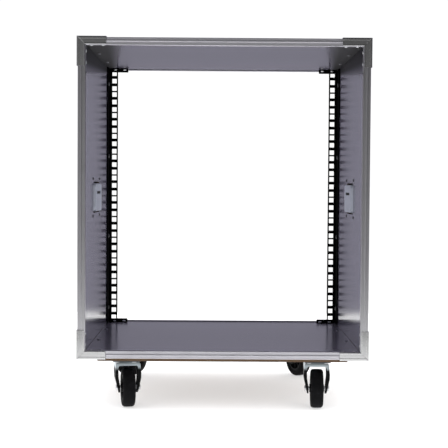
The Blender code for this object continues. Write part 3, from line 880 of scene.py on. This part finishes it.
def tyreProfile():
    c = casterSize
    r, w, rim = c["tyreRadius"], c["tyreHalf"], c["rim"] + 0.3
    half = [(rim, w - 1.0), (rim + 1.6, w - 0.5), (rim + 2.6, w - 0.9), (rim + 3.8, w - 0.9),
            (rim + 4.6, w - 0.1), (r - 4.2, w), (r - 2.4, w - 0.7), (r - 1.0, w - 2.2), (r - 0.35, w - 4.2),
            (r - 0.1, w - 7.0), (r, w - 10.2), (r, 0.6), (r - 0.12, 0.25)]
    return [(rad, -h) for rad, h in half] + [(rad, h) for rad, h in reversed(half)]


def hubShapes(put):
    c = casterSize
    w, rim = c["tyreHalf"] - 1.6, c["rim"]
    outline = [(c["bore"], -c["boss"]), (7.4, -c["boss"]), (8.0, -c["boss"] + 0.6), (8.6, -6.6),
               (10.0, -4.0), (18.6, -3.6), (19.8, -5.0), (20.4, -w + 0.4), (21.0, -w), (rim, -w)]
    outline += [(rad, -h) for rad, h in reversed(outline)]
    shapes = [turned(outline, 56, put)]
    for i in range(c["ribs"]):  # short ribs between the boss and the rim, on both faces
        angle = math.tau * i / c["ribs"]
        ca, sa = math.cos(angle), math.sin(angle)
        for face in (-1, 1):
            rings = []
            for rad, top in ((7.6, 9.4), (12.0, 7.6), (17.0, 7.0), (20.2, 8.6)):
                rings.append([put(rad * ca - s * sa, rad * sa + s * ca, face * h)
                              for s, h in ((-0.9, 3.0), (0.9, 3.0), (0.7, top), (-0.7, top))])
            shapes.append(skin(rings))
    return shapes


def caster(label):
    c = casterSize
    name = "caster_" + label
    swivel = joints[name + "_swivel"]["pos_m"]
    axis = joints[name + "_roll"]["axis"]
    angle = math.atan2(axis[1], axis[0])
    ca, sa = math.cos(angle), math.sin(angle)
    px, py = swivel[0] / mm, swivel[1] / mm

    def steered(x, y, z):
        return (px + x * ca - y * sa, py + x * sa + y * ca, z)

    def onAxle(a, b, h):
        return steered(h, a - c["trail"], b + c["axleZ"])

    def upright(a, b, h):
        return (px + a, py + b, h)

    plate, fork = name + "_plate", name + "_fork"
    piece(plate + "_pressed", soften(fromNode(plate), c["plateEdge"], 2), "shadedPlate", plate)
    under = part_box(name + "_plate")[0].z / mm
    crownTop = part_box(name + "_fork")[1].z / mm
    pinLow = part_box(name + "_kingpin")[0].z / mm
    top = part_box(name + "_kingpin")[1].z / mm
    race, seat = under - 0.3, crownTop + 0.3
    pin = [(0.0, top), (4.6, top), (5.0, top - 0.4), (5.0, race), (18.4, race),
           (19.0, race * 0.8 + seat * 0.2), (19.3, (race + seat) / 2), (19.0, race * 0.2 + seat * 0.8),
           (18.4, seat), (5.0, seat), (5.0, crownTop - 2.8), (9.0, crownTop - 2.8), (8.8, crownTop - 4.2),
           (6.5, pinLow + 0.4), (0.0, pinLow)]
    piece(name + "_race", turned(pin, 56, upright), "pinSteelAndShade", name + "_kingpin")
    piece(fork + "_pressed", soften(fromNode(fork), c["forkEdge"], 3, 34), "forkPlate", fork)
    leg, tip = c["axleLeg"], c["axleTip"]
    axle = [(0.0, -tip), (3.6, -tip), (5.0, -tip + 0.6), (5.6, -leg), (4.0, -leg)]
    axle += [(r, -h) for r, h in reversed(axle)]
    piece(name + "_axle_riveted", turned(axle, 32, onAxle), "brightBolt", name + "_axle")
    piece(name + "_tyre_moulded", turned(tyreProfile(), 96, onAxle), "tyreRubber", name + "_tyre")
    piece(name + "_hub_moulded", merge(hubShapes(onAxle)), "hubNylon", name + "_hub")
    screws = []
    for u in (-c["boltU"], c["boltU"]):
        for v in (-c["boltV"], c["boltV"]):
            screws += hexHead((px + u, py + v, under), (0, 0, -1), c["boltRadius"], c["boltHeight"],
                              dice.random())
    piece(name + "_screws", merge(screws), "brightBolt", body="case", slot="bolt_steel")


# screws that hold the caster board to the floor of the case
boardScrews = {"u": (-150.0, 0.0, 150.0), "v": (-178.0, 178.0), "radius": 5.0, "height": 2.4}


def boardFixings():
    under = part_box("caster_board")[0].z / mm
    screws = [panHead((u, v, under), (0, 0, -1), boardScrews["radius"], boardScrews["height"])
              for u in boardScrews["u"] for v in boardScrews["v"]]
    piece("board_screws", merge(screws), "brightBolt", body="case", slot="bolt_steel")


# studio: a short pale floor, a white sky, soft light that is dimmer from below, and a darker room
# that only polished pieces mirror, with one tone ahead of the case and bands of grey behind the camera
studio = {"floor": (0.95, 0.95, 0.95), "front": -1.0, "rear": 1.3, "side": 2.0, "sky": 1.05,
          "light": 0.80, "below": 0.22, "lightTurns": (-0.25, 0.05), "ahead": (0.35, 0.34, 0.41),
          "aheadFrom": (-0.60, 0.30), "darkerSide": 0.9, "wash": 5600.0, "washSize": 40.0, "washHeight": 6.0}
bands = ((0.0, 0.52), (0.41, 0.52), (0.44, 0.42), (0.475, 0.29), (0.553, 0.29), (0.568, 0.06), (1.0, 0.06))


def world():
    s = studio
    room = Finish(bpy.data.worlds.new("room"), shader="Background", place="Generated")
    bpy.context.scene.world = room.owner
    height = room.axis("Z")
    stops = [(at, (tone, tone, tone)) for at, tone in bands]
    behind = room.add("ShaderNodeValToRGB", {"stops": stops}, {0: height * 0.5 + 0.5})
    dimmer = 1 - room.axis("X") * s["darkerSide"]
    behind = room.add("ShaderNodeVectorMath", {"operation": "SCALE"}, {0: behind, "Scale": dimmer})
    mirrored = room.mix(room.fade(room.axis("Y"), *s["aheadFrom"]), behind, s["ahead"])
    soft = room.mix(room.fade(height, *s["lightTurns"]), (s["below"],) * 3, (s["light"],) * 3)
    shiny = room.add("ShaderNodeLightPath", output="Is Glossy Ray")
    seen = room.add("ShaderNodeLightPath", output="Is Camera Ray")
    room.show({"Color": room.mix(seen, room.mix(shiny, soft, mirrored), (s["sky"],) * 3)})
    room.owner.cycles.sampling_method = "NONE"


def floor():
    s = studio
    finish = newFinish("paleFloor", {"Roughness": 0.75, "Specular IOR Level": 0.1})
    cloud = finish.noise(0.8, 3)
    finish.show({"Base Color": finish.mix(cloud, scaled(s["floor"], 0.99), s["floor"])})
    near, far, half = s["front"], s["rear"], s["side"]
    bm = bmesh.new()  # a short sheet, so that polished pieces mirror the dim room past its ends
    corners = ((-half, near), (half, near), (half, far), (-half, far))
    bm.faces.new([bm.verts.new((x, y, 0.0)) for x, y in corners])
    mesh = bpy.data.meshes.new("floor")
    bm.to_mesh(mesh)
    bm.free()
    mesh.materials.append(finish.owner)
    obj = bpy.data.objects.new("floor", mesh)
    bpy.context.scene.collection.objects.link(obj)
    return obj


def floorWash(ground):  # lifts the floor alone, so that the shadow under the case stays soft and light
    lamp = bpy.data.lights.new("floorWash", "AREA")
    lamp.energy = studio["wash"]
    lamp.size = studio["washSize"]
    lamp.use_shadow = False
    obj = bpy.data.objects.new("floorWash", lamp)
    obj.location = (0.0, 0.0, studio["washHeight"])
    obj.visible_camera = False
    obj.visible_glossy = False
    bpy.context.scene.collection.objects.link(obj)
    lit = bpy.data.collections.new("floorOnly")
    lit.objects.link(ground)
    obj.light_linking.receiver_collection = lit


# camera: eye a little above the middle of the case, looking slightly down
eye = {"aside": -8.1, "distance": 1955.8, "height": 309.4, "lens": 89.62, "sensor": 36.0,
       "down": 2.07, "turn": 0.265, "roll": 0.386}


def camera():
    lens = bpy.data.cameras.new("camera")
    lens.lens = eye["lens"]
    lens.sensor_width = eye["sensor"]
    obj = bpy.data.objects.new("camera", lens)
    obj.location = Vector((eye["aside"], -halfDepth - eye["distance"], bodyBottom + eye["height"])) * mm
    obj.rotation_euler = (math.radians(90 - eye["down"]), 0.0, -math.radians(eye["turn"]))
    obj.rotation_euler.rotate_axis("Z", math.radians(eye["roll"]))
    bpy.context.scene.collection.objects.link(obj)
    bpy.context.scene.camera = obj


panels()
print("panels ready")
endFrames()
edgeAngles()
cornerBrackets()
seamRivets()
print("frames, brackets and rivets ready")
rackRails()
for side, sx in sides.items():
    handleDish(side, sx)
    handleBail(side)
    handleSpring(side)
print("rails and handles ready")
for label in ("front_left", "front_right", "rear_left", "rear_right"):
    caster(label)
boardFixings()
print("casters ready")
world()
floorWash(floor())
camera()
bpy.context.scene.view_settings.view_transform = "Standard"
print("studio ready")
